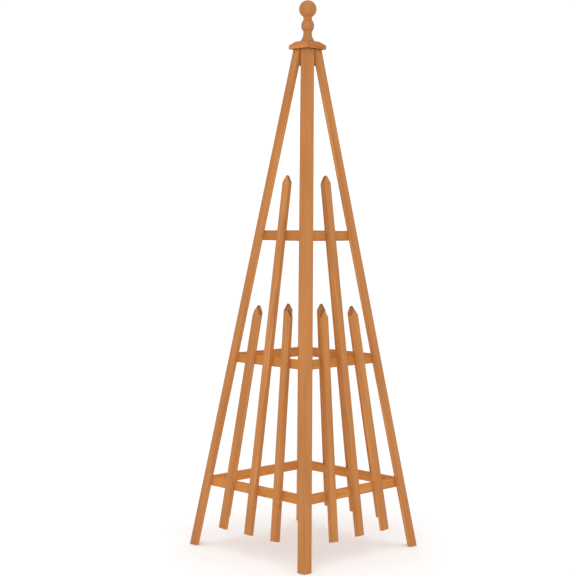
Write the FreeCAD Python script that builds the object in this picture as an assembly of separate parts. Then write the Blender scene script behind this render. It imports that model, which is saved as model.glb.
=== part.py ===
import FreeCAD, Part

import math
import os

# Garden obelisk of sawn slats: four leaning trellis panels, mitred together along the
# corners, a head block and bevelled cap board at the top, and a turned finial.
# Millimetres. Z is up, the origin is on the ground below the finial, and the four sides
# face -Y (front), +X (right), +Y (back) and -X (left).

Vector = FreeCAD.Vector

# ---- driving dimensions -------------------------------------------------------------

FOOT_SPREAD = 537.0            # outside width of the square that the feet stand on
HEAD_SPREAD = 67.0             # outside width of the square at the tops of the stiles
STILE_TOP = 1640.0             # height at which the stiles end, under the cap board
SLAT_WIDTH = 31.0              # stiles, pickets and rails are all cut from one stock
SLAT_THICKNESS = 13.0

RAIL_HEIGHTS = {"bottom_rail": 202.0, "middle_rail": 614.0, "top_rail": 1019.0}
PICKET_FOOT = 75.0             # height of the lower ends of the pickets
SHORT_PICKET_TIP = 797.5
TALL_PICKET_TIP = 1228.5
POINT_LENGTH = 23.5            # length of the gabled point on a picket

BLOCK_HEIGHT = 52.0            # head block, inside the tops of the panels

CAP_WIDTH = 88.0
CAP_EDGE = 13.0                # upright edge of the cap board
CAP_BEVEL_RISE = 13.0
CAP_BEVEL_RUN = 16.0

FINIAL_HEIGHT = 134.0          # heights on the finial are above the cap board
BALL_RADIUS = 29.0
BALL_CENTRE = FINIAL_HEIGHT - BALL_RADIUS
BEAD_RADIUS = 21.7
BEAD_CENTRE = 51.0
BEAD_HALF_LENGTH = 18.0
NECK_RADIUS = 14.4             # above and below the bead
COVE_TOP = 25.0                # where the hollow above the foot runs into the neck
COVE_MIDDLE_RADIUS = 17.2
COVE_MIDDLE = 12.5
FINIAL_FOOT_RADIUS = 22.0
FINIAL_FOOT_EDGE = 4.0

NAIL_LENGTH = 21.0
NAIL_RADIUS = 0.8
NAIL_HEAD_RADIUS = 1.2
NAIL_HEAD_THICKNESS = 0.6
NAIL_PLAY = 0.08               # space left around a nail in its hole
NAIL_SINK = 0.1                # how far a nail head sits below the wood
NAIL_SPACING = 14.0            # between the two nails of one crossing
STILE_NAIL_INSET = 23.0        # from the corner of the obelisk to the nails of a stile
BLOCK_NAIL_INSET = 22.0
BLOCK_NAIL_DROPS = (34.0, 20.0)    # below the stile tops: on front and back, on the sides
CORNER_NAIL_INSET = 6.0
CORNER_NAIL_HEIGHTS = (110.0, 430.0, 830.0, 1250.0, 1510.0)

CAP_SCREW_OFFSET = 13.0
CAP_SCREW_LENGTH = 45.0
CAP_SCREW_RADIUS = 2.0
CAP_SCREW_HEAD_RADIUS = 4.0
CAP_SCREW_HEAD_DEPTH = 2.4
DOWEL_SCREW_RADIUS = 3.0
DOWEL_SCREW_IN_BLOCK = 30.0
DOWEL_SCREW_IN_FINIAL = 35.0
DOWEL_SCREW_TIP = 5.0
SCREW_PLAY = 0.1

# ---- derived geometry ---------------------------------------------------------------

HALF_FOOT = FOOT_SPREAD / 2
CLOSING = (FOOT_SPREAD - HEAD_SPREAD) / 2 / STILE_TOP    # inward travel per unit of height
LEAN = math.atan(CLOSING)                                # of a panel from upright
CORNER_SLANT = math.atan(math.sin(LEAN))                 # of a corner line in its panel
CORNER_WIDTH = SLAT_WIDTH / math.cos(CORNER_SLANT)       # of a stile, measured level
LEVEL_THICKNESS = SLAT_THICKNESS / math.cos(LEAN)
CAP_TOP = STILE_TOP + CAP_EDGE + CAP_BEVEL_RISE
BLOCK_FOOT = STILE_TOP - BLOCK_HEIGHT

SIDES = ("front", "right", "back", "left")


def up_slope(height):
    """Distance along a panel's slope that reaches a height."""
    return height / math.cos(LEAN)


def half_width(slope):
    """Half the outside width of a panel at a distance up its slope."""
    return HALF_FOOT - slope * math.sin(LEAN)


def half_side(height):
    """Half the outside width of the whole obelisk at a height."""
    return HALF_FOOT - height * CLOSING


def stile_axis(slope):
    """How far a stile's centre line is from the middle of its panel."""
    return half_width(slope) - CORNER_WIDTH / 2


# ---- shapes -------------------------------------------------------------------------

def board(outline, inner, outer):
    """A flat board in a panel's own plane: an outline of (across, up the slope) points,
    between two depths, where 0 is the panel's outer face and inward is negative."""
    points = [Vector(x, y, inner) for x, y in outline]
    face = Part.Face(Part.makePolygon(points + points[:1]))
    return face.extrude(Vector(0, 0, outer - inner))


def stand_up(shape):
    """From a panel's own plane to the leaning front side of the obelisk."""
    tilt = FreeCAD.Rotation(Vector(1, 0, 0), 90 - math.degrees(LEAN))
    front = FreeCAD.Placement(Vector(0, -HALF_FOOT, 0), tilt)
    placed = shape.copy()
    placed.Placement = front.multiply(shape.Placement)
    return placed


def turn(shape, quarter_turns):
    """From the front side to another side."""
    turned = shape.copy()
    turned.rotate(Vector(0, 0, 0), Vector(0, 0, 1), 90 * quarter_turns)
    return turned


def front_quarter():
    """The quarter of the space that the front panel may fill: its faces are the mitre
    planes at the corners, the ground and the underside of the cap board."""
    reach = FOOT_SPREAD
    points = [Vector(0, 0, 0), Vector(-reach, -reach, 0), Vector(reach, -reach, 0)]
    face = Part.Face(Part.makePolygon(points + points[:1]))
    return face.extrude(Vector(0, 0, STILE_TOP))


def stile(side):
    """One board of a corner: side is -1 for the left stile and 1 for the right one."""
    low, high = up_slope(-SLAT_WIDTH), up_slope(STILE_TOP + SLAT_WIDTH)
    outline = [
        (side * (half_width(low) + SLAT_WIDTH), low),
        (side * (half_width(low) - CORNER_WIDTH), low),
        (side * (half_width(high) - CORNER_WIDTH), high),
        (side * (half_width(high) + SLAT_WIDTH), high),
    ]
    return stand_up(board(outline, -SLAT_THICKNESS, 0)).common(front_quarter())


def rail(height):
    """A level rail behind the stiles and pickets, its ends cut to the mitre planes."""
    low = up_slope(height)
    high = low + SLAT_WIDTH
    outline = [
        (-HALF_FOOT, low),
        (HALF_FOOT, low),
        (HALF_FOOT, high),
        (-HALF_FOOT, high),
    ]
    return stand_up(board(outline, -2 * SLAT_THICKNESS, -SLAT_THICKNESS)).common(front_quarter())


def picket_axis(share, slope):
    """Place of a picket's centre line, as a share of the way out to the stile's."""
    return share * stile_axis(slope)


def picket(share, tip_height):
    """A slat with a gabled top. It fans out: share is 0 in the middle of the panel."""
    foot = up_slope(PICKET_FOOT)
    start = Vector(picket_axis(share, foot), foot, 0)
    tip = up_slope(tip_height)
    end = Vector(picket_axis(share, tip), tip, 0)
    along = (end - start).normalize()
    across = Vector(along.y, -along.x, 0) * (SLAT_WIDTH / 2)
    shoulder = end - along * POINT_LENGTH
    corners = [start - across, start + across, shoulder + across, end, shoulder - across]
    return stand_up(board([(p.x, p.y) for p in corners], -SLAT_THICKNESS, 0))


def nail(point, direction, play=0.0):
    """A flat-headed nail driven into the wood from point. With play it is its hole."""
    sink = 0.0 if play else NAIL_SINK
    radius, head = NAIL_RADIUS + play, NAIL_HEAD_RADIUS + play
    neck = NAIL_SINK + NAIL_HEAD_THICKNESS
    outline = [
        Vector(0, 0, sink),
        Vector(head, 0, sink),
        Vector(head, 0, neck),
        Vector(radius, 0, neck),
        Vector(radius, 0, NAIL_LENGTH - 2 * radius),
        Vector(0, 0, NAIL_LENGTH + play),
    ]
    face = Part.Face(Part.makePolygon(outline + outline[:1]))
    body = face.revolve(Vector(0, 0, 0), Vector(0, 0, 1), 360)
    placed = body.copy()
    placed.Placement = FreeCAD.Placement(point, FreeCAD.Rotation(Vector(0, 0, 1), direction))
    return placed


# ---- where the nails go -------------------------------------------------------------

INWARD, OUTWARD = Vector(0, 0, -1), Vector(0, 0, 1)


def stile_nails(slope):
    """Through both stiles into a rail at this slope: (point, direction) in the panel."""
    nails = []
    for side in (-1, 1):
        for lift in (-NAIL_SPACING / 2, NAIL_SPACING / 2):
            height = slope + lift
            across = side * (half_width(height) - STILE_NAIL_INSET)
            nails.append((Vector(across, height, 0), INWARD))
    return nails


def picket_nails(share, slope):
    """From the inside, through a rail into a picket."""
    nails = []
    for step in (-NAIL_SPACING / 2, NAIL_SPACING / 2):
        height = slope + step
        across = picket_axis(share, height) + step
        nails.append((Vector(across, height, -2 * SLAT_THICKNESS), OUTWARD))
    return nails


def panel_nail_places():
    """The nails that hold one panel together."""
    places = []
    for name, height in RAIL_HEIGHTS.items():
        middle = up_slope(height) + SLAT_WIDTH / 2
        places += stile_nails(middle)
        shares = (0.0,) if name == "top_rail" else (-0.5, 0.0, 0.5)
        for share in shares:
            places += picket_nails(share, middle)
    return places


def corner_nail_places(side):
    """Through a front or back stile into the edge of its neighbour, along the mitre."""
    places = []
    for height in CORNER_NAIL_HEIGHTS:
        slope = up_slope(height)
        places.append((Vector(side * (half_width(slope) - CORNER_NAIL_INSET), slope, 0), INWARD))
    return places


def block_nail_places(quarter_turns):
    """Through both stiles of a panel into the head block. Neighbouring panels' nails
    pass each other at different heights."""
    slope = up_slope(STILE_TOP - BLOCK_NAIL_DROPS[quarter_turns % 2])
    across = half_width(slope) - BLOCK_NAIL_INSET
    return [(Vector(side * across, slope, 0), INWARD) for side in (-1, 1)]


def nails_at(places, quarter_turns, play=0.0):
    """Nails, or their holes, of one side of the obelisk."""
    shapes = [nail(point, direction, play) for point, direction in places]
    return [turn(stand_up(shape), quarter_turns) for shape in shapes]


# ---- top parts ----------------------------------------------------------------------

def square_section(half, height):
    corners = [(-half, -half), (half, -half), (half, half), (-half, half)]
    points = [Vector(x, y, height) for x, y in corners]
    return Part.makePolygon(points + points[:1])


def tapered_square(half_low, low, half_high, high):
    sections = [square_section(half_low, low), square_section(half_high, high)]
    return Part.makeLoft(sections, True, True)


def head_block():
    low = half_side(BLOCK_FOOT) - LEVEL_THICKNESS
    high = half_side(STILE_TOP) - LEVEL_THICKNESS
    return tapered_square(low, BLOCK_FOOT, high, STILE_TOP)


def cap_board():
    half = CAP_WIDTH / 2
    shoulder = STILE_TOP + CAP_EDGE
    edge = tapered_square(half, STILE_TOP, half, shoulder)
    bevel = tapered_square(half, shoulder, half - CAP_BEVEL_RUN, CAP_TOP)
    return edge.fuse(bevel).removeSplitter()


def arc(start, through, end):
    return Part.Arc(start, through, end).toShape()


def finial():
    """Turned from one piece: a foot, a cove, a neck round a bead, and a ball."""
    def at(radius, height):
        return Vector(radius, 0, CAP_TOP + height)

    foot_corner = at(FINIAL_FOOT_RADIUS, 0)
    foot_edge = at(FINIAL_FOOT_RADIUS, FINIAL_FOOT_EDGE)
    cove_top = at(NECK_RADIUS, COVE_TOP)
    bead_start = at(NECK_RADIUS, BEAD_CENTRE - BEAD_HALF_LENGTH)
    bead_end = at(NECK_RADIUS, BEAD_CENTRE + BEAD_HALF_LENGTH)
    ball_drop = math.sqrt(BALL_RADIUS ** 2 - NECK_RADIUS ** 2)
    ball_start = at(NECK_RADIUS, BALL_CENTRE - ball_drop)
    top = at(0, FINIAL_HEIGHT)
    edges = [
        Part.makeLine(at(0, 0), foot_corner),
        Part.makeLine(foot_corner, foot_edge),
        arc(foot_edge, at(COVE_MIDDLE_RADIUS, COVE_MIDDLE), cove_top),
        Part.makeLine(cove_top, bead_start),
        arc(bead_start, at(BEAD_RADIUS, BEAD_CENTRE), bead_end),
        Part.makeLine(bead_end, ball_start),
        arc(ball_start, at(BALL_RADIUS, BALL_CENTRE), top),
        Part.makeLine(top, at(0, 0)),
    ]
    face = Part.Face(Part.Wire(edges))
    return face.revolve(Vector(0, 0, 0), Vector(0, 0, 1), 360)


def dowel_screw(play=0.0):
    """Double-pointed screw on the axis, from the head block into the finial."""
    low = STILE_TOP - DOWEL_SCREW_IN_BLOCK - play
    high = CAP_TOP + DOWEL_SCREW_IN_FINIAL + play
    radius = DOWEL_SCREW_RADIUS + play
    outline = [
        Vector(0, 0, low),
        Vector(radius, 0, low + DOWEL_SCREW_TIP),
        Vector(radius, 0, high - DOWEL_SCREW_TIP),
        Vector(0, 0, high),
    ]
    face = Part.Face(Part.makePolygon(outline + outline[:1]))
    return face.revolve(Vector(0, 0, 0), Vector(0, 0, 1), 360)


def cap_screw(side, play=0.0):
    """Countersunk screw down through the cap board, hidden by the finial's foot."""
    top = CAP_TOP if play else CAP_TOP - SCREW_PLAY
    tip = CAP_TOP - CAP_SCREW_LENGTH - play
    radius, head = CAP_SCREW_RADIUS + play, CAP_SCREW_HEAD_RADIUS + play
    cone_end = top - CAP_SCREW_HEAD_DEPTH
    outline = [
        Vector(0, 0, top),
        Vector(head, 0, top),
        Vector(radius, 0, cone_end),
        Vector(radius, 0, tip + 2 * CAP_SCREW_RADIUS),
        Vector(0, 0, tip),
    ]
    face = Part.Face(Part.makePolygon(outline + outline[:1]))
    screw = face.revolve(Vector(0, 0, 0), Vector(0, 0, 1), 360)
    screw.translate(Vector(side * CAP_SCREW_OFFSET, 0, 0))
    return screw


# ---- assembly -----------------------------------------------------------------------

def drilled(shape, holes):
    """The shape without those of the holes that reach it."""
    near = [hole for hole in holes if hole.BoundBox.intersect(shape.BoundBox)]
    return shape.cut(near) if near else shape


def export(shape, node):
    solids = shape if isinstance(shape, list) else [shape]
    group = solids[0] if len(solids) == 1 else Part.makeCompound(solids)
    group.exportStep("parts/" + node + ".step")
    volume = sum(solid.Volume for solid in solids)
    print(node, len(solids), "pieces", round(volume), "mm3, valid", group.isValid())


def panel_pieces():
    """The wooden pieces of the front panel, undrilled."""
    pieces = {
        "left_stile": stile(-1),
        "right_stile": stile(1),
        "tall_picket": picket(0.0, TALL_PICKET_TIP),
        "left_short_picket": picket(-0.5, SHORT_PICKET_TIP),
        "right_short_picket": picket(0.5, SHORT_PICKET_TIP),
    }
    for name, height in RAIL_HEIGHTS.items():
        pieces[name] = rail(height)
    return pieces


def main():
    os.makedirs("parts", exist_ok=True)

    nail_groups = {}
    holes = []
    block_nails = []
    for turns, side in enumerate(SIDES):
        places = panel_nail_places()
        nail_groups[side + "_panel_nails"] = nails_at(places, turns)
        holes += nails_at(places, turns, NAIL_PLAY)
        places = block_nail_places(turns)
        block_nails += nails_at(places, turns)
        holes += nails_at(places, turns, NAIL_PLAY)
    nail_groups["head_block_nails"] = block_nails
    for turns, side in ((0, "front"), (2, "back")):
        for hand, word in ((-1, "left"), (1, "right")):
            places = corner_nail_places(hand)
            nail_groups[side + "_" + word + "_corner_nails"] = nails_at(places, turns)
            holes += nails_at(places, turns, NAIL_PLAY)

    pieces = panel_pieces()
    for turns, side in enumerate(SIDES):
        for name, shape in pieces.items():
            export(drilled(turn(shape, turns), holes), side + "_panel_" + name)
    for name, nails in nail_groups.items():
        export(nails, name)

    screws = [cap_screw(side) for side in (-1, 1)]
    bores = [cap_screw(side, SCREW_PLAY) for side in (-1, 1)] + [dowel_screw(SCREW_PLAY)]
    export(drilled(head_block(), holes + bores), "head_block")
    export(drilled(cap_board(), bores), "cap_board")
    export(drilled(finial(), bores[2:]), "finial")
    export(dowel_screw(), "finial_dowel_screw")
    export(screws, "cap_screws")


main()
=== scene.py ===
import math
import random

import bmesh
import bpy
import numpy as np
from mathutils import Matrix, Vector, noise


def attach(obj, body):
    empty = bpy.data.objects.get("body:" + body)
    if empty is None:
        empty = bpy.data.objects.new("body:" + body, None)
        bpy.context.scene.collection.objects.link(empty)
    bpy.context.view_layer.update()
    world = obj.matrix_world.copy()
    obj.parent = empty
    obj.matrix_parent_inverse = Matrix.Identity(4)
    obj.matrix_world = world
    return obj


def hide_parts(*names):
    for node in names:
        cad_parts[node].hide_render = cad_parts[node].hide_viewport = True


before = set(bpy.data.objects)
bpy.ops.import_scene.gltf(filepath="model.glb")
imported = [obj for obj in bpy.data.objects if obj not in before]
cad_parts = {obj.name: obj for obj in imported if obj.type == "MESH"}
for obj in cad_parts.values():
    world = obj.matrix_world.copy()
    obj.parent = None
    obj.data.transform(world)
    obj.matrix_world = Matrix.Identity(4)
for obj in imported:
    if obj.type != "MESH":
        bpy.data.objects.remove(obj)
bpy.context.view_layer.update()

# A garden obelisk of stained softwood slats. Metres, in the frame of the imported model:
# Z is up, the origin is on the ground below the finial and the front faces -Y.
# Each board takes its place and its sawn shape from its CAD node. Here it gets eased
# edges, drilled nail holes and the grain of a log of its own.

SIDES = ("front", "right", "back", "left")
UP = Vector((0, 0, 1))
MM = 0.001

# ---- boards -------------------------------------------------------------------------

FLAT_ANGLE = math.radians(0.6)       # faces of a hull that meet at less than this are one
MITRE_TOLERANCE = 0.01               # on the parts of a unit normal
SLICE_TOLERANCE = 1e-7               # a corner this close to a cut lies on it
LENGTHWISE = Vector((1, 2, 4))       # a board's own length points this way, not the other
SQUARE_ON = 0.985                    # cosines: a face looks just along an axis,
ROUGHLY_ON = 0.9                     # ... roughly along it,
CAP_END_ON = 0.55                    # ... or more or less so, on the cap's end bevels
END_ON = 0.45                        # ... and on the slopes of a picket's point
EDGE_EASE = 0.9 * MM                 # radius of a sanded edge
EASED_ANGLE = math.radians(35)       # edges that turn by more than this are sanded
EDGE_STEPS = 3
CORNER_EASE = 2.2 * MM               # radius across the two stiles of a corner
CORNER_STEPS = 3
SECTION_SPACING = 22 * MM            # between the places where the wear of an edge changes
WEAR_DEPTH = 0.22 * MM
WEAR_LENGTH = 35 * MM                # along an edge, from one worn place to the next
WEAR_BIAS = 0.2                      # above 0, more than half of an edge is worn
WEAR_SHIFT = 90                      # how far apart two boards are in the noise of wear
CAP_EASE = 1.3 * MM
BLOCK_EASE = 0.8 * MM
DRILL_SIDES = 14
DRILL_PLAY = 0.08 * MM
DRILL_RUN_OUT = 1.5 * MM             # how far a drill stands out of the wood
DRILL_TESTS = 10                     # points of a fixing that are tried against a board
RING_TOLERANCE = 0.1 * MM            # points of a turned shape this close are one ring
WELD = 0.01 * MM
SHARP_ANGLE = math.radians(50)       # faces that meet at more than this aren't smoothed

# ---- finial -------------------------------------------------------------------------

OUTLINE_STEP = 0.6 * MM
LATHE_SIDES = 112
QUIRK_DEPTH = 0.22 * MM              # of the fine line cut where a neck meets a swelling
QUIRK_WIDTH = 0.7 * MM
QUIRK_TURN = math.radians(25)        # an outline that turns outwards by more has a quirk
BORE_RADIUS = 4.0 * MM               # corners nearer the axis than this are of the bore
BORE_END = 60 * MM                   # ... if they are lower than this above the foot
FOOT_EASE = 0.9 * MM
EASE_RISE, EASE_RUN = 0.3, 0.7       # the middle of a rounded edge, in shares of its radius

# ---- camera, light and stage --------------------------------------------------------

CAMERA_AZIMUTH = math.radians(44.31)     # from the front towards the right
CAMERA_DISTANCE = 4.393
CAMERA_HEIGHT = 1.093
CAMERA_PAN = math.radians(0.752)
CAMERA_TILT = math.radians(3.065)
CAMERA_ROLL = math.radians(0.444)
LENS = 83.18                             # this and the sensor in millimetres
SENSOR = 36.0

SKY_STRENGTH = 1.06
FLOOR_RADIUS = 30.0
FLOOR_SIDES = 96
FLOOR_SHADES = ((0.965, 0.965, 0.965, 1), (0.985, 0.985, 0.985, 1))
FLOOR_CLOUD_SCALE = (0.8, 0.8, 0.8)


# ---- shader nodes -------------------------------------------------------------------

def add(tree, kind, inputs=(), **settings):
    """A new shader node. inputs holds values, or output sockets to link."""
    made = tree.nodes.new("ShaderNode" + kind)
    for name, value in settings.items():
        setattr(made, name, value)
    for name, value in dict(inputs).items():
        if isinstance(value, bpy.types.NodeSocket):
            tree.links.new(value, made.inputs[name])
        else:
            made.inputs[name].default_value = value
    return made


def number(tree, operation, first, second=0.0, third=0.0):
    """The result of one operation on up to three values or sockets."""
    made = add(tree, "Math", {0: first, 1: second, 2: third}, operation=operation)
    return made.outputs[0]


def stretched(tree, vector, scale):
    """The vector with each part multiplied: large numbers make short patterns."""
    made = add(tree, "VectorMath", {0: vector, 1: scale}, operation="MULTIPLY")
    return made.outputs[0]


def speckle(tree, vector, scale, detail=2.0, roughness=0.5):
    """Noise from 0 to 1, mostly near 0.5."""
    inputs = {"Vector": stretched(tree, vector, scale), "Scale": 1.0, "Detail": detail,
              "Roughness": roughness}
    return add(tree, "TexNoise", inputs).outputs["Fac"]


def ranged(tree, value, low, high, to_low=0.0, to_high=1.0):
    """A smooth step of value from low..high to to_low..to_high."""
    inputs = {"Value": value, "From Min": low, "From Max": high, "To Min": to_low,
              "To Max": to_high}
    made = add(tree, "MapRange", inputs, interpolation_type="SMOOTHSTEP")
    return made.outputs["Result"]


def blended(tree, share, first, second, mode="MIX"):
    """Two colours mixed. Sockets 6 and 7 of the node and its output 2 are for colours."""
    made = tree.nodes.new("ShaderNodeMix")
    made.data_type = "RGBA"
    made.blend_type = mode
    for socket, value in ((0, share), (6, first), (7, second)):
        if isinstance(value, bpy.types.NodeSocket):
            tree.links.new(value, made.inputs[socket])
        else:
            made.inputs[socket].default_value = value
    return made.outputs[2]


def attribute(tree, name, output):
    """What the mesh stores under this name: a Fac or a Vector."""
    return add(tree, "Attribute", attribute_name=name).outputs[output]


def new_material(name):
    """An empty material with its output: (material, tree, surface socket)."""
    material = bpy.data.materials.new(name)
    material.use_nodes = True
    tree = material.node_tree
    tree.nodes.clear()
    output = tree.nodes.new("ShaderNodeOutputMaterial")
    return material, tree, output.inputs["Surface"]


# ---- wood ---------------------------------------------------------------------------

RING_SPACING = 2.4 * MM
RING_WANDER = 7.0 * MM               # how far the rings stray from true circles
WANDER_SCALE = (9, 9, 1.6)
LATE_START, LATE_FULL, LATE_END = 0.25, 0.92, 0.94      # shares of the way across a ring

KNOT_SPACING = 0.42                  # of the cells of a log that hold one knot each
KNOT_PACKING = 0.72                  # above 1, cells are shorter than they are wide
KNOT_RADIUS = 4.2 * MM
KNOT_SIZES = (0.6, 1.5)              # of the smallest and the largest, in knot radii
KNOT_RAGGED_SCALE = (260, 260, 200)
KNOT_RAGGEDNESS = 0.35
KNOT_HEART = (0.75, 1.25)            # knot radii over which the dark heart fades
KNOT_HALO = (1.0, 2.6)
KNOT_HALO_SHARE = 0.35
KNOT_SHADE = 0.42                    # of the dark wood's colour
KNOT_SWELL = 3.2 * MM                # how far the rings bend round a knot
KNOT_REACH = 4.0                     # ... up to this many knot radii away

FIBRES = {"scale": (1500, 1500, 22), "detail": 3.0, "roughness": 0.6}
HAIRS = {"scale": (4200, 4200, 90), "detail": 1.0}
PATCHES = {"scale": (26, 26, 3.2)}
STREAKS = {"scale": (230, 230, 2.4)}
FIBRE_RANGE = (0.3, 0.75)            # of a speckle, over which fibres darken
PATCH_RANGE = (0.25, 0.75)
FIBRE_SHARE, HAIR_SHARE = 0.38, 0.16     # of the way to the dark colour

EDGE_RIM, EDGE_BAND = 0.5 * MM, 3.0 * MM     # the stain is a little darker along an edge
EDGE_RAGGEDNESS = 1.2 * MM
GREEN_FALL, BLUE_FALL = 1.25, 1.5    # powers: wood that took more stain is redder too

LATE_ROUGHNESS = -0.07               # late wood is smoother by this
FIBRE_ROUGHNESS = 0.14               # from the smoothest fibre to the roughest
FIBRE_SMOOTHEST = 0.05               # how far the smoothest is below the wood's roughness
LATE_RELIEF, FIBRE_RELIEF, KNOT_RELIEF = 0.6, -0.9, 0.8
RELIEF_DEPTH = 0.12 * MM


def ring_pattern(tree, grain, knot_distance):
    """Annual rings round the pith at the origin of the grain: 0 in early wood, rising
    to 1 in late wood, which ends sharply."""
    wander = add(tree, "TexNoise", {"Vector": stretched(tree, grain, WANDER_SCALE),
                                    "Scale": 1.0, "Detail": 2.0}).outputs["Color"]
    centred = add(tree, "VectorMath", {0: wander, 1: (0.5, 0.5, 0.5)},
                  operation="SUBTRACT").outputs[0]
    stray = stretched(tree, centred, (RING_WANDER,) * 3)
    strayed = add(tree, "VectorMath", {0: stray, 1: grain}, operation="ADD").outputs[0]
    level = stretched(tree, strayed, (1, 1, 0))
    radius = add(tree, "VectorMath", {0: level}, operation="LENGTH").outputs["Value"]
    swell = ranged(tree, knot_distance, 0.0, KNOT_REACH, KNOT_SWELL, 0.0)
    rings = number(tree, "DIVIDE", number(tree, "ADD", radius, swell), RING_SPACING)
    phase = number(tree, "FRACT", rings)
    rise = ranged(tree, phase, LATE_START, LATE_FULL)
    fall = ranged(tree, phase, LATE_END, 1.0, 1.0, 0.0)
    return number(tree, "MULTIPLY", rise, fall)


def knot_field(tree, grain):
    """Distance from the nearest knot's middle, in knot radii."""
    parts = add(tree, "SeparateXYZ", {0: grain})
    flat = add(tree, "CombineXYZ", {0: parts.outputs[0], 1: parts.outputs[2]}).outputs[0]
    place = stretched(tree, flat, (1 / KNOT_SPACING, KNOT_PACKING / KNOT_SPACING, 0))
    ragged = speckle(tree, grain, KNOT_RAGGED_SCALE, 1.0)
    cell = add(tree, "TexVoronoi", {"Vector": place, "Scale": 1.0}, voronoi_dimensions="2D")
    size = ranged(tree, cell.outputs["Color"], 0.0, 1.0, *KNOT_SIZES)
    radius = number(tree, "MULTIPLY", size, KNOT_RADIUS / KNOT_SPACING)
    distance = number(tree, "DIVIDE", cell.outputs["Distance"], radius)
    return number(tree, "ADD", distance, number(tree, "MULTIPLY", ragged, KNOT_RAGGEDNESS))


def edge_distance(tree):
    """Distance on a wide or narrow face from the nearer long edge of the board."""
    section = attribute(tree, "section", "Vector")
    extent = attribute(tree, "extent", "Vector")
    inward = add(tree, "VectorMath", {0: section}, operation="ABSOLUTE").outputs[0]
    rest = add(tree, "VectorMath", {0: extent, 1: inward}, operation="SUBTRACT").outputs[0]
    parts = add(tree, "SeparateXYZ", {0: rest})
    return number(tree, "MAXIMUM", parts.outputs[0], parts.outputs[1])


def wood(name, pale, dark, roughness=0.58, ring_share=0.5, uneven=0.16, bump=0.35,
         edging=0.2, knotty=1.0):
    """Stained softwood. The mesh carries grain, a place in the board's own log, tone,
    which is the board's own darkness, each face's brightness, which is the stain it has
    taken with painted light on the narrow and inner faces and painted shade under the cap,
    and section and extent, a place in the board's cross section and its half size."""
    material, tree, surface = new_material(name)
    grain = attribute(tree, "grain", "Vector")
    tone = attribute(tree, "tone", "Fac")
    stain_and_painted_light = attribute(tree, "stain_and_painted_light", "Fac")

    knots = knot_field(tree, grain)
    late = ring_pattern(tree, grain, knots)
    fibres = speckle(tree, grain, **FIBRES)
    hairs = speckle(tree, grain, **HAIRS)
    patches = speckle(tree, grain, **PATCHES)
    streaks = speckle(tree, grain, **STREAKS)

    fine = number(tree, "MULTIPLY_ADD", ranged(tree, fibres, *FIBRE_RANGE), FIBRE_SHARE,
                  number(tree, "MULTIPLY", hairs, HAIR_SHARE))
    share = number(tree, "MULTIPLY_ADD", late, ring_share, fine)
    colour = blended(tree, share, (*pale, 1), (*dark, 1))

    cloud = ranged(tree, patches, *PATCH_RANGE, 1 + uneven / 2, 1 - uneven / 2)
    streak = ranged(tree, streaks, *PATCH_RANGE, 1 + uneven / 3, 1 - uneven / 3)
    rim = edge_distance(tree)
    ragged = number(tree, "MULTIPLY_ADD", fibres, EDGE_RAGGEDNESS, rim)
    edge = ranged(tree, ragged, EDGE_RIM, EDGE_BAND, 1 - edging, 1.0)
    cloud = number(tree, "MULTIPLY", cloud, edge)
    light = number(tree, "MULTIPLY", number(tree, "MULTIPLY", cloud, streak), tone)
    # each face's brightness carries painted light on the narrow and inner faces and painted
    # shade under the cap
    brightness = number(tree, "MULTIPLY", light, stain_and_painted_light)
    tinted = blended(tree, 1.0, colour, add(tree, "CombineColor", {
        0: brightness,
        1: number(tree, "POWER", brightness, GREEN_FALL),
        2: number(tree, "POWER", brightness, BLUE_FALL),
    }).outputs[0], "MULTIPLY")

    heart = ranged(tree, knots, *KNOT_HEART, 1.0, 0.0)
    halo = ranged(tree, knots, *KNOT_HALO, KNOT_HALO_SHARE, 0.0)
    darkest = tuple(KNOT_SHADE * part for part in dark)
    knot = number(tree, "MULTIPLY", number(tree, "MAXIMUM", heart, halo), knotty)
    knotted = blended(tree, knot, tinted, (*darkest, 1))

    gloss = number(tree, "MULTIPLY_ADD", late, LATE_ROUGHNESS, roughness)
    rough = number(tree, "MULTIPLY_ADD", fibres, FIBRE_ROUGHNESS,
                   number(tree, "SUBTRACT", gloss, FIBRE_SMOOTHEST))
    height = number(tree, "MULTIPLY_ADD", late, LATE_RELIEF,
                    number(tree, "MULTIPLY", fibres, FIBRE_RELIEF))
    raised = number(tree, "MULTIPLY_ADD", heart, KNOT_RELIEF, height)
    relief = add(tree, "Bump", {"Height": raised, "Distance": RELIEF_DEPTH, "Strength": bump})

    shader = add(tree, "BsdfPrincipled", {
        "Base Color": knotted,
        "Roughness": rough,
        "IOR": 1.42,
        "Specular IOR Level": 0.3,
        "Normal": relief.outputs[0],
    })
    tree.links.new(shader.outputs[0], surface)
    return material


# ---- steel --------------------------------------------------------------------------

SPOT_SCALE = (900, 900, 900)
SCRATCH_SCALE = (6000, 6000, 700)
SPOT_RANGE = (0.38, 0.62)
SCRATCH_ROUGHNESS = 0.25
SCRATCH_DEPTH = 0.05 * MM


def steel(name, colour, tarnish, roughness):
    """Small fixings: dulled metal with brown tarnish and a few scratches."""
    material, tree, surface = new_material(name)
    place = add(tree, "TexCoord").outputs["Object"]
    spots = speckle(tree, place, SPOT_SCALE, 3.0)
    scratches = speckle(tree, place, SCRATCH_SCALE)
    share = ranged(tree, spots, *SPOT_RANGE)
    shade = blended(tree, share, (*colour, 1), (*tarnish, 1))
    rough = number(tree, "MULTIPLY_ADD", scratches, SCRATCH_ROUGHNESS, roughness)
    relief = add(tree, "Bump", {"Height": scratches, "Distance": SCRATCH_DEPTH, "Strength": 0.3})
    shader = add(tree, "BsdfPrincipled", {
        "Base Color": shade,
        "Metallic": 0.85,
        "Roughness": rough,
        "Normal": relief.outputs[0],
    })
    tree.links.new(shader.outputs[0], surface)
    return material


# ---- the materials of the record's slots --------------------------------------------

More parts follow.
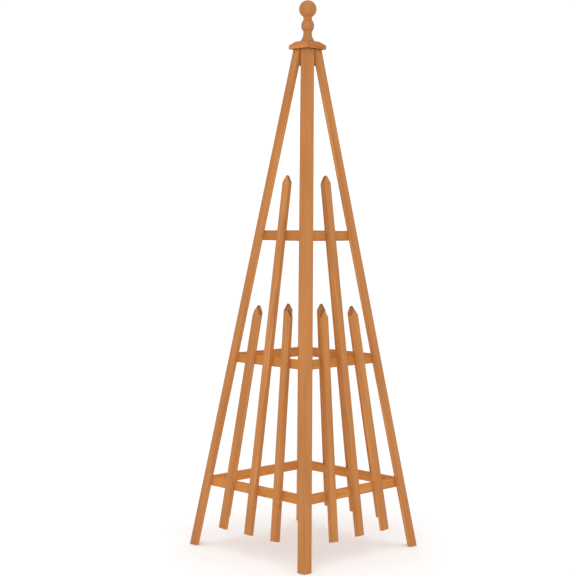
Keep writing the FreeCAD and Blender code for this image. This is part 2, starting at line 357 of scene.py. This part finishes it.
MATERIALS = {
    "stile_wood": wood("stile_wood", (0.488, 0.205, 0.059), (0.361, 0.125, 0.027),
                       knotty=0.4),
    "picket_wood": wood("picket_wood", (0.490, 0.205, 0.059), (0.358, 0.124, 0.026),
                        knotty=0.25),
    "rail_wood": wood("rail_wood", (0.560, 0.226, 0.047), (0.415, 0.133, 0.021)),
    "cap_wood": wood("cap_wood", (0.556, 0.221, 0.055), (0.407, 0.129, 0.025), uneven=0.2,
                     edging=0.0, knotty=0.0),
    "finial_wood": wood("finial_wood", (0.462, 0.194, 0.060), (0.340, 0.122, 0.028),
                        roughness=0.42, bump=0.2, edging=0.0, knotty=0.0),
    # the head block's colour is darker than the other woods: painted shade for the narrow gaps
    # between the stiles, where it shows
    "block_wood": wood("block_wood", (0.400, 0.150, 0.045), (0.270, 0.090, 0.022)),
    "nail_steel": steel("nail_steel", (0.36, 0.27, 0.19), (0.20, 0.10, 0.045), 0.42),
    "screw_steel": steel("screw_steel", (0.62, 0.56, 0.44), (0.45, 0.38, 0.27), 0.28),
}


# ---- meshes -------------------------------------------------------------------------

def new_piece(name, mesh, slot, *nodes):
    """An object of the obelisk that stands for these CAD nodes."""
    piece = bpy.data.objects.new(name, mesh)
    bpy.context.scene.collection.objects.link(piece)
    mesh.materials.clear()
    mesh.materials.append(MATERIALS[slot])
    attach(piece, "root")
    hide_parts(*nodes)
    return piece


def hull_of(node):
    """The sawn shape of a CAD node, without its holes: every one of these is convex."""
    mesh = bmesh.new()
    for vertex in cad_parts[node].data.vertices:
        mesh.verts.new(vertex.co)
    bmesh.ops.remove_doubles(mesh, verts=mesh.verts, dist=WELD)
    made = bmesh.ops.convex_hull(mesh, input=mesh.verts)
    left_over = {v for v in made["geom_interior"] + made["geom_unused"]
                 if isinstance(v, bmesh.types.BMVert) and not v.link_faces}
    bmesh.ops.delete(mesh, geom=list(left_over), context="VERTS")
    bmesh.ops.dissolve_limit(mesh, angle_limit=FLAT_ANGLE, verts=mesh.verts, edges=mesh.edges)
    bmesh.ops.recalc_face_normals(mesh, faces=mesh.faces)
    return mesh


def board_axes(mesh):
    """(across, out, along) unit vectors of a board: along its longest edge, and out of
    its larger wide face."""
    longest = max(mesh.edges, key=lambda edge: edge.calc_length())
    along = (longest.verts[1].co - longest.verts[0].co).normalized()
    if along.dot(LENGTHWISE) < 0:
        along = -along
    widest = max(mesh.faces, key=lambda face: face.calc_area())
    out = (widest.normal - along * widest.normal.dot(along)).normalized()
    return along.cross(out), out, along


def is_mitre(face):
    """True for an upright face on one of the two diagonals, where two panels meet."""
    normal = face.normal
    upright = abs(normal.z) < MITRE_TOLERANCE
    return upright and abs(abs(normal.x) - abs(normal.y)) < MITRE_TOLERANCE


def everything(mesh):
    """All parts of a mesh, as an operator's geometry."""
    return mesh.verts[:] + mesh.edges[:] + mesh.faces[:]


def plane_off(mesh, point, normal):
    """Cuts away what is beyond a plane, and closes the cut."""
    cut = bmesh.ops.bisect_plane(mesh, geom=everything(mesh), dist=SLICE_TOLERANCE,
                                 plane_co=point, plane_no=normal, clear_outer=True)
    rim = [part for part in cut["geom_cut"] if isinstance(part, bmesh.types.BMEdge)]
    bmesh.ops.contextual_create(mesh, geom=rim)


def round_corner(mesh, out):
    """Rounds the outer edge of a stile's mitre, so that two stiles share one round."""
    outer_edges = [edge for edge in mesh.edges
                   if any(is_mitre(face) for face in edge.link_faces)
                   and any(face.normal.dot(out) > ROUGHLY_ON for face in edge.link_faces)]
    corner = max(outer_edges, key=lambda edge: edge.calc_length())
    mitre = next(face for face in corner.link_faces if is_mitre(face))
    direction = (corner.verts[1].co - corner.verts[0].co).normalized()
    point = corner.verts[0].co.copy()
    outward = direction.cross(mitre.normal).normalized()
    if outward.dot(out) < 0:
        outward = -outward
    centre = point - outward * (CORNER_EASE / out.dot(outward))
    for step in range(CORNER_STEPS):
        share = (step + 1) / CORNER_STEPS
        normal = out.slerp(outward, share)
        plane_off(mesh, centre + normal * CORNER_EASE, normal)


def ease_edges(mesh, radius):
    """Rounds every edge but those of the mitres and of the corner's own round."""
    sharp = [edge for edge in mesh.edges
             if not any(is_mitre(face) for face in edge.link_faces)
             and edge.calc_face_angle(0.0) > EASED_ANGLE]
    bmesh.ops.bevel(mesh, geom=sharp, offset=radius, segments=EDGE_STEPS, profile=0.5,
                    affect="EDGES", clamp_overlap=True)


def facing(face, axes):
    """Which way a face looks: wide, narrow or end, or None on a rounded edge."""
    across, out, along = axes
    if abs(face.normal.dot(out)) > SQUARE_ON:
        return "wide"
    if abs(face.normal.dot(across)) > SQUARE_ON:
        return "narrow"
    if abs(face.normal.dot(along)) > END_ON:
        return "end"
    return None


def wear_edges(mesh, axes, seed):
    """Divides the board along its length, and wears its rounded edges unevenly."""
    along = axes[2]
    places = [vertex.co.dot(along) for vertex in mesh.verts]
    low, high = min(places), max(places)
    count = max(2, round((high - low) / SECTION_SPACING))
    for step in range(1, count):
        place = low + (high - low) * step / count
        bmesh.ops.bisect_plane(mesh, geom=everything(mesh), dist=SLICE_TOLERANCE,
                               plane_co=along * place, plane_no=along)
    shift = Vector([seed.uniform(0, WEAR_SHIFT) for _ in range(3)])
    for vertex in mesh.verts:
        if all(facing(face, axes) is None for face in vertex.link_faces):
            depth = noise.noise(vertex.co / WEAR_LENGTH + shift)
            vertex.co -= vertex.normal * WEAR_DEPTH * max(0.0, depth + WEAR_BIAS)


# ---- drilled holes ------------------------------------------------------------------

def lathe(outline, sides, name):
    """A mesh of (height, radius) points turned about Z. Zero radii close its ends."""
    mesh = bmesh.new()
    rings = []
    for height, radius in outline:
        if radius <= 0:
            rings.append([mesh.verts.new((0, 0, height))])
            continue
        turns = [2 * math.pi * k / sides for k in range(sides)]
        rings.append([mesh.verts.new((radius * math.cos(a), radius * math.sin(a), height))
                      for a in turns])
    for lower, upper in zip(rings, rings[1:]):
        for k in range(sides):
            n = (k + 1) % sides
            corners = [lower[k % len(lower)], lower[n % len(lower)],
                       upper[n % len(upper)], upper[k % len(upper)]]
            mesh.faces.new(dict.fromkeys(corners))
    made = bpy.data.meshes.new(name)
    mesh.to_mesh(made)
    mesh.free()
    return made


def loose_parts(node):
    """The corners of each separate solid in a CAD node."""
    mesh = bmesh.new()
    mesh.from_mesh(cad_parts[node].data)
    bmesh.ops.remove_doubles(mesh, verts=mesh.verts, dist=WELD)
    waiting = set(mesh.verts)
    parts = []
    while waiting:
        seed = waiting.pop()
        part, newest = [seed], [seed]
        while newest:
            near = {edge.other_vert(v) for v in newest for edge in v.link_edges}
            newest = list(near & waiting)
            waiting -= near
            part += newest
        parts.append(sorted((v.co.copy() for v in part), key=tuple))
    mesh.free()
    return sorted(parts, key=lambda part: tuple(part[0]))


def fixing_outline(part):
    """(head, axis, outline) of a nail or screw: outline is the (depth, radius) pairs of
    its rings, from the face of its head to its tip."""
    points = np.array(part)
    centre = points.mean(0)
    axis = np.linalg.svd(points - centre, full_matrices=False)[2][0]
    depths = (points - centre) @ axis
    radii = np.linalg.norm(points - centre - np.outer(depths, axis), axis=1)
    near_top = radii[depths < depths.min() + RING_TOLERANCE].max()
    near_end = radii[depths > depths.max() - RING_TOLERANCE].max()
    if near_end > near_top:
        axis, depths = -axis, -depths
    head = centre + axis * depths.min()
    depths = depths - depths.min()
    rings = {}
    for depth, radius in zip(depths, radii):
        rings.setdefault(round(depth / RING_TOLERANCE), []).append((radius, depth))
    outline = []
    for key in sorted(rings):
        widest, depth = max(rings[key])
        outline.append((depth, widest))
        narrow = min(radius for radius, _ in rings[key]
                     if radius > RING_TOLERANCE or widest < RING_TOLERANCE)
        if widest - narrow > RING_TOLERANCE:
            outline.append((depth, narrow))
    return Vector(head), Vector(axis), outline


class Drill:
    """The hole of one nail or screw: its own outline with a little play."""

    def __init__(self, part):
        head, axis, outline = fixing_outline(part)
        self.ends = (head, head + axis * outline[-1][0])
        widened = [(depth, radius + DRILL_PLAY) for depth, radius in outline]
        if outline[-1][1] < RING_TOLERANCE:
            widened[-1] = (outline[-1][0] + DRILL_PLAY, 0.0)
        if outline[0][1] < RING_TOLERANCE:
            widened[0] = (outline[0][0] - DRILL_PLAY, 0.0)
        else:
            widened[:1] = [(-DRILL_RUN_OUT, 0.0), (-DRILL_RUN_OUT, widened[0][1])]
        self.outline = widened
        self.place = Matrix.Translation(head) @ axis.to_track_quat("Z", "X").to_matrix().to_4x4()

    def add_to(self, mesh):
        tool = lathe(self.outline, DRILL_SIDES, "drill")
        tool.transform(self.place)
        mesh.from_mesh(tool)
        bpy.data.meshes.remove(tool)

    def reaches(self, low, high, axes):
        """True if it enters a box that is measured along a board's own axes."""
        start, end = self.ends
        for step in range(DRILL_TESTS + 1):
            point = start.lerp(end, step / DRILL_TESTS)
            local = [point.dot(axis) for axis in axes]
            if all(a - DRILL_PLAY < x < b + DRILL_PLAY for a, x, b in zip(low, local, high)):
                return True
        return False


def drilled(mesh, drills, axes):
    """A new mesh: the bmesh with the holes of the drills that reach it."""
    local = [[vertex.co.dot(axis) for axis in axes] for vertex in mesh.verts]
    low = [min(column) for column in zip(*local)]
    high = [max(column) for column in zip(*local)]
    tools = bmesh.new()
    for drill in drills:
        if drill.reaches(low, high, axes):
            drill.add_to(tools)
    board = object_of(mesh, "undrilled")
    if not tools.verts:
        tools.free()
        made = board.data.copy()
    else:
        bmesh.ops.recalc_face_normals(tools, faces=tools.faces)
        tool = object_of(tools, "tools")
        cut = board.modifiers.new("holes", "BOOLEAN")
        cut.operation = "DIFFERENCE"
        cut.solver = "EXACT"
        cut.object = tool
        graph = bpy.context.evaluated_depsgraph_get()
        made = bpy.data.meshes.new_from_object(board.evaluated_get(graph))
        bpy.data.objects.remove(tool)
    bpy.data.objects.remove(board)
    return made


def object_of(mesh, name):
    """A throwaway object of a bmesh, which is freed."""
    data = bpy.data.meshes.new(name)
    mesh.to_mesh(data)
    mesh.free()
    made = bpy.data.objects.new(name, data)
    bpy.context.scene.collection.objects.link(made)
    return made


# ---- grain --------------------------------------------------------------------------

STAIN_AND_PAINTED_LIGHT = {"wide": 1.0, "narrow": 1.07, "end": 0.62, None: 0.98}    # brightness of each face: end grain takes more stain and is darker, and the narrow faces are painted lighter, painted light against the shade between the slats
INNER_PAINTED_LIGHT = 1.19                        # painted light: the inner faces, which lie in shade inside the obelisk, are painted lighter
CAP_END_SOAK = 0.82
CAP_UNDER_PAINTED_SHADE = 0.4                     # painted shade: the cap's underside, in shade under its overhang, is painted dark
PITH_NEAR, PITH_FAR = 0.03, 0.09         # from the middle of a board to its log's heart
LOG_LENGTH = 40                          # boards are cut from anywhere along so much log
LOG_LEAN = 0.012                         # of a board's length off the log's line
STILE_PLACE = 0.6                        # a stile's middle lies about on a diagonal
TONE_SPREAD = 0.045
TOP_RAIL_TONE = 0.83                     # the top rails were sawn from darker stock


def grow_grain(mesh, axes, seed, tone=1.0):
    """Stores where each point of a board was in its log, and how bright each face is: its
    stain, with painted light and painted shade.
    """
    across, out, along = axes
    turn = seed.uniform(0, 2 * math.pi)
    reach = seed.uniform(PITH_NEAR, PITH_FAR)
    along_log = seed.uniform(0, LOG_LENGTH)
    pith = Vector((reach * math.cos(turn), reach * math.sin(turn), along_log))
    lean = Vector((seed.uniform(-LOG_LEAN, LOG_LEAN), seed.uniform(-LOG_LEAN, LOG_LEAN), 0))
    middle = sum((vertex.co for vertex in mesh.vertices), Vector()) / len(mesh.vertices)
    grain = mesh.attributes.new("grain", "FLOAT_VECTOR", "POINT")
    for vertex, place in zip(mesh.vertices, grain.data):
        p = vertex.co - middle
        length = p.dot(along)
        place.vector = Vector((p.dot(across), p.dot(out), length)) + pith + lean * length
    own_tone = mesh.attributes.new("tone", "FLOAT", "POINT")
    shade = tone * (1 + seed.uniform(-TONE_SPREAD, TONE_SPREAD))
    own_tone.data.foreach_set("value", [shade] * len(mesh.vertices))
    # each face's brightness: its stain, with painted light on the narrow and inner faces
    stain_and_painted_light = mesh.attributes.new("stain_and_painted_light", "FLOAT", "FACE")
    stain_and_painted_light.data.foreach_set("value", [stain_and_painted_light_of(face, axes) for face in mesh.polygons])
    section = mesh.attributes.new("section", "FLOAT_VECTOR", "POINT")
    extent = mesh.attributes.new("extent", "FLOAT_VECTOR", "POINT")
    places = [(vertex.co.dot(across), vertex.co.dot(out)) for vertex in mesh.vertices]
    low = [min(column) for column in zip(*places)]
    high = [max(column) for column in zip(*places)]
    origin = [corner_side(middle, across, low[0], high[0]), (low[1] + high[1]) / 2]
    half = [max(end - place, place - start) for start, place, end in zip(low, origin, high)]
    for place, here, size in zip(places, section.data, extent.data):
        here.vector = (place[0] - origin[0], place[1] - origin[1], 0)
        size.vector = (*half, 0)


def stain_and_painted_light_of(face, axes):
    """How bright a face is: its stain, with painted light that lifts the narrow faces and the
    inner faces.
    """
    share = STAIN_AND_PAINTED_LIGHT[facing(face, axes)]
    inward = Vector((face.center.x, face.center.y, 0)).dot(face.normal) < 0
    return share * INNER_PAINTED_LIGHT if inward else share


def corner_side(middle, across, low, high):
    """Where across a stile's section its mitred corner is, or the middle of a board that
    has none: a board in the middle of a panel lies straight out from the obelisk's axis."""
    outward = Vector((middle.x, middle.y, 0))
    reach = outward.length
    if reach < MM or min(abs(outward.x), abs(outward.y)) < STILE_PLACE * reach:
        return (low + high) / 2
    return high if across.dot(outward) > 0 else low


def finish_surface(piece):
    """Smooth rounded edges beside flat faces, and crisp rims of holes."""
    piece.data.shade_smooth()
    piece.data.set_sharp_from_angle(angle=SHARP_ANGLE)
    keep_flat = piece.modifiers.new("flat_faces", "WEIGHTED_NORMAL")
    keep_flat.keep_sharp = True
    keep_flat.weight = 100


# ---- pieces -------------------------------------------------------------------------

def make_board(node, slot, drills, ease=EDGE_EASE, axes=None, tone=1.0, worn=True):
    """A board with eased and worn edges, drilled, in place of its CAD node."""
    seed = random.Random(node)
    mesh = hull_of(node)
    axes = axes or board_axes(mesh)
    if slot == "stile_wood":
        round_corner(mesh, outer_normal(mesh, axes))
    ease_edges(mesh, ease)
    if worn:
        wear_edges(mesh, axes, seed)
    data = drilled(mesh, drills, axes)
    data.name = node
    grow_grain(data, axes, seed, tone)
    piece = new_piece("visual_" + node, data, slot, node)
    finish_surface(piece)
    return piece


def outer_normal(mesh, axes):
    """The normal of a stile's outer face, which looks away from the obelisk's middle."""
    out = axes[1]
    middle = sum((vertex.co for vertex in mesh.verts), Vector()) / len(mesh.verts)
    return out if out.dot(Vector((middle.x, middle.y, 0))) > 0 else -out


def finial_outline():
    """The (height, radius) corners of the CAD finial's outline, from foot to top."""
    rings = {}
    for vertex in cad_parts["finial"].data.vertices:
        height, radius = vertex.co.z, math.hypot(vertex.co.x, vertex.co.y)
        key = round(height / RING_TOLERANCE)
        rings[key] = max(rings.get(key, (0.0, height)), (radius, height))
    foot = min(height for _, height in rings.values())
    return [(height, radius) for radius, height in (rings[key] for key in sorted(rings))
            if radius > BORE_RADIUS or height > foot + BORE_END]


def quirks(corners):
    """Heights at which the outline suddenly turns outwards."""
    slopes = [math.atan2(b[1] - a[1], b[0] - a[0]) for a, b in zip(corners, corners[1:])]
    return [corners[k + 1][0] for k in range(len(slopes) - 1)
            if slopes[k + 1] - slopes[k] > QUIRK_TURN]


def make_finial(drills):
    """The turned finial, with a fine line cut where its outline turns outwards."""
    corners = finial_outline()
    cut = quirks(corners)
    foot, top = corners[0][0], corners[-1][0]
    turned = [(foot, 0.0)]
    for start, end in zip(corners, corners[1:]):
        count = max(1, round(math.dist(start, end) / OUTLINE_STEP))
        for step in range(count):
            height = start[0] + (end[0] - start[0]) * step / count
            radius = start[1] + (end[1] - start[1]) * step / count
            for place in cut:
                radius -= QUIRK_DEPTH * math.exp(-((height - place) / QUIRK_WIDTH) ** 2)
            turned.append((height, radius))
    turned.append((top, 0.0))
    bottom = turned[1][1] - FOOT_EASE
    turned[1:2] = [(foot, bottom), (foot + EASE_RISE * FOOT_EASE, bottom + EASE_RUN * FOOT_EASE)]
    mesh = bmesh.new()
    mesh.from_mesh(lathe(turned, LATHE_SIDES, "finial"))
    bmesh.ops.recalc_face_normals(mesh, faces=mesh.faces)
    axes = (Vector((1, 0, 0)), Vector((0, 1, 0)), UP)
    data = drilled(mesh, drills, axes)
    grow_grain(data, axes, random.Random("finial"))
    stain_and_painted_light = data.attributes["stain_and_painted_light"].data
    stain_and_painted_light.foreach_set("value", [1.0] * len(data.polygons))
    piece = new_piece("visual_finial", data, "finial_wood", "finial")
    finish_surface(piece)
    return piece


def make_top(drills):
    """The head block, the cap board with its darker end grain and painted shade on its
    underside, and the finial.
    """
    level = (Vector((0, 1, 0)), UP, Vector((1, 0, 0)))
    upright = (Vector((1, 0, 0)), Vector((0, 1, 0)), UP)
    cap = make_board("cap_board", "cap_wood", drills, ease=CAP_EASE, axes=level)
    for face, share in zip(cap.data.polygons, cap.data.attributes["stain_and_painted_light"].data):
        # painted shade on the cap's underside; its end bevels are darker end grain
        if face.normal.z < -ROUGHLY_ON:
            share.value = CAP_UNDER_PAINTED_SHADE
        elif abs(face.normal.x) > CAP_END_ON:
            share.value = CAP_END_SOAK
    make_board("head_block", "block_wood", drills, ease=BLOCK_EASE, axes=upright, worn=False)
    make_finial(drills)


def make_panels(drills):
    """The 32 boards of the four trellis panels."""
    for side in SIDES:
        for node in sorted(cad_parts):
            if not node.startswith(side + "_panel_"):
                continue
            tone = TOP_RAIL_TONE if node.endswith("top_rail") else 1.0
            for word in ("stile", "picket", "rail"):
                if node.endswith(word):
                    make_board(node, word + "_wood", drills, tone=tone)


def dress_fixings():
    """Nails and screws stay as they are in the CAD model, with the look of metal."""
    drills = []
    for node, source in sorted(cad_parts.items()):
        if "nails" in node or "screw" in node:
            slot = "nail_steel" if "nails" in node else "screw_steel"
            source.data.materials.clear()
            source.data.materials.append(MATERIALS[slot])
            drills += [Drill(part) for part in loose_parts(node)]
    return drills


# ---- stage --------------------------------------------------------------------------

def make_stage():
    """A pale floor under an even white sky."""
    material, tree, surface = new_material("pale_floor")
    place = add(tree, "TexCoord").outputs["Object"]
    cloud = speckle(tree, place, FLOOR_CLOUD_SCALE)
    shade = blended(tree, cloud, *FLOOR_SHADES)
    shader = add(tree, "BsdfPrincipled", {"Base Color": shade, "Roughness": 0.8,
                                          "Specular IOR Level": 0.1})
    tree.links.new(shader.outputs[0], surface)
    mesh = bmesh.new()
    bmesh.ops.create_circle(mesh, cap_ends=True, segments=FLOOR_SIDES, radius=FLOOR_RADIUS)
    floor = object_of(mesh, "floor")
    floor.data.materials.append(material)

    world = bpy.data.worlds.new("studio")
    world.use_nodes = True
    sky = world.node_tree.nodes["Background"]
    sky.inputs["Color"].default_value = (1, 1, 1, 1)
    sky.inputs["Strength"].default_value = SKY_STRENGTH
    bpy.context.scene.world = world
    bpy.context.scene.view_settings.view_transform = "Standard"


def soft_light(name, azimuth, height, distance, size, power, target_height):
    """A square soft box. The azimuth is from the front towards the right, in degrees."""
    light = bpy.data.lights.new(name, "AREA")
    light.size = size
    light.energy = power
    lamp = bpy.data.objects.new(name, light)
    turn = math.radians(azimuth)
    lamp.location = (distance * math.sin(turn), -distance * math.cos(turn), height)
    aim = Vector((0, 0, target_height)) - lamp.location
    lamp.rotation_euler = aim.to_track_quat("-Z", "Y").to_euler()
    bpy.context.scene.collection.objects.link(lamp)


def make_camera():
    """A camera that looks a little past the obelisk's axis and down, slightly rolled."""
    data = bpy.data.cameras.new("camera")
    data.sensor_width = SENSOR
    data.lens = LENS
    camera = bpy.data.objects.new("camera", data)
    heading = CAMERA_AZIMUTH + CAMERA_PAN
    ahead = Vector((-math.sin(heading), math.cos(heading), 0))
    right = Vector((math.cos(heading), math.sin(heading), 0))
    view = ahead * math.cos(CAMERA_TILT) - UP * math.sin(CAMERA_TILT)
    above = UP * math.cos(CAMERA_TILT) + ahead * math.sin(CAMERA_TILT)
    x = right * math.cos(CAMERA_ROLL) + above * math.sin(CAMERA_ROLL)
    y = above * math.cos(CAMERA_ROLL) - right * math.sin(CAMERA_ROLL)
    turn = Matrix((x, y, -view)).transposed().to_4x4()
    place = Vector((math.sin(CAMERA_AZIMUTH) * CAMERA_DISTANCE,
                    -math.cos(CAMERA_AZIMUTH) * CAMERA_DISTANCE, CAMERA_HEIGHT))
    camera.matrix_world = Matrix.Translation(place) @ turn
    bpy.context.scene.collection.objects.link(camera)
    bpy.context.scene.camera = camera


drills = dress_fixings()
make_panels(drills)
make_top(drills)
make_stage()
soft_light("key", azimuth=36, height=4.2, distance=4.0, size=1.8, power=24, target_height=0.9)
soft_light("fill", azimuth=38, height=1.3, distance=6.5, size=3.0, power=60, target_height=0.7)
make_camera()
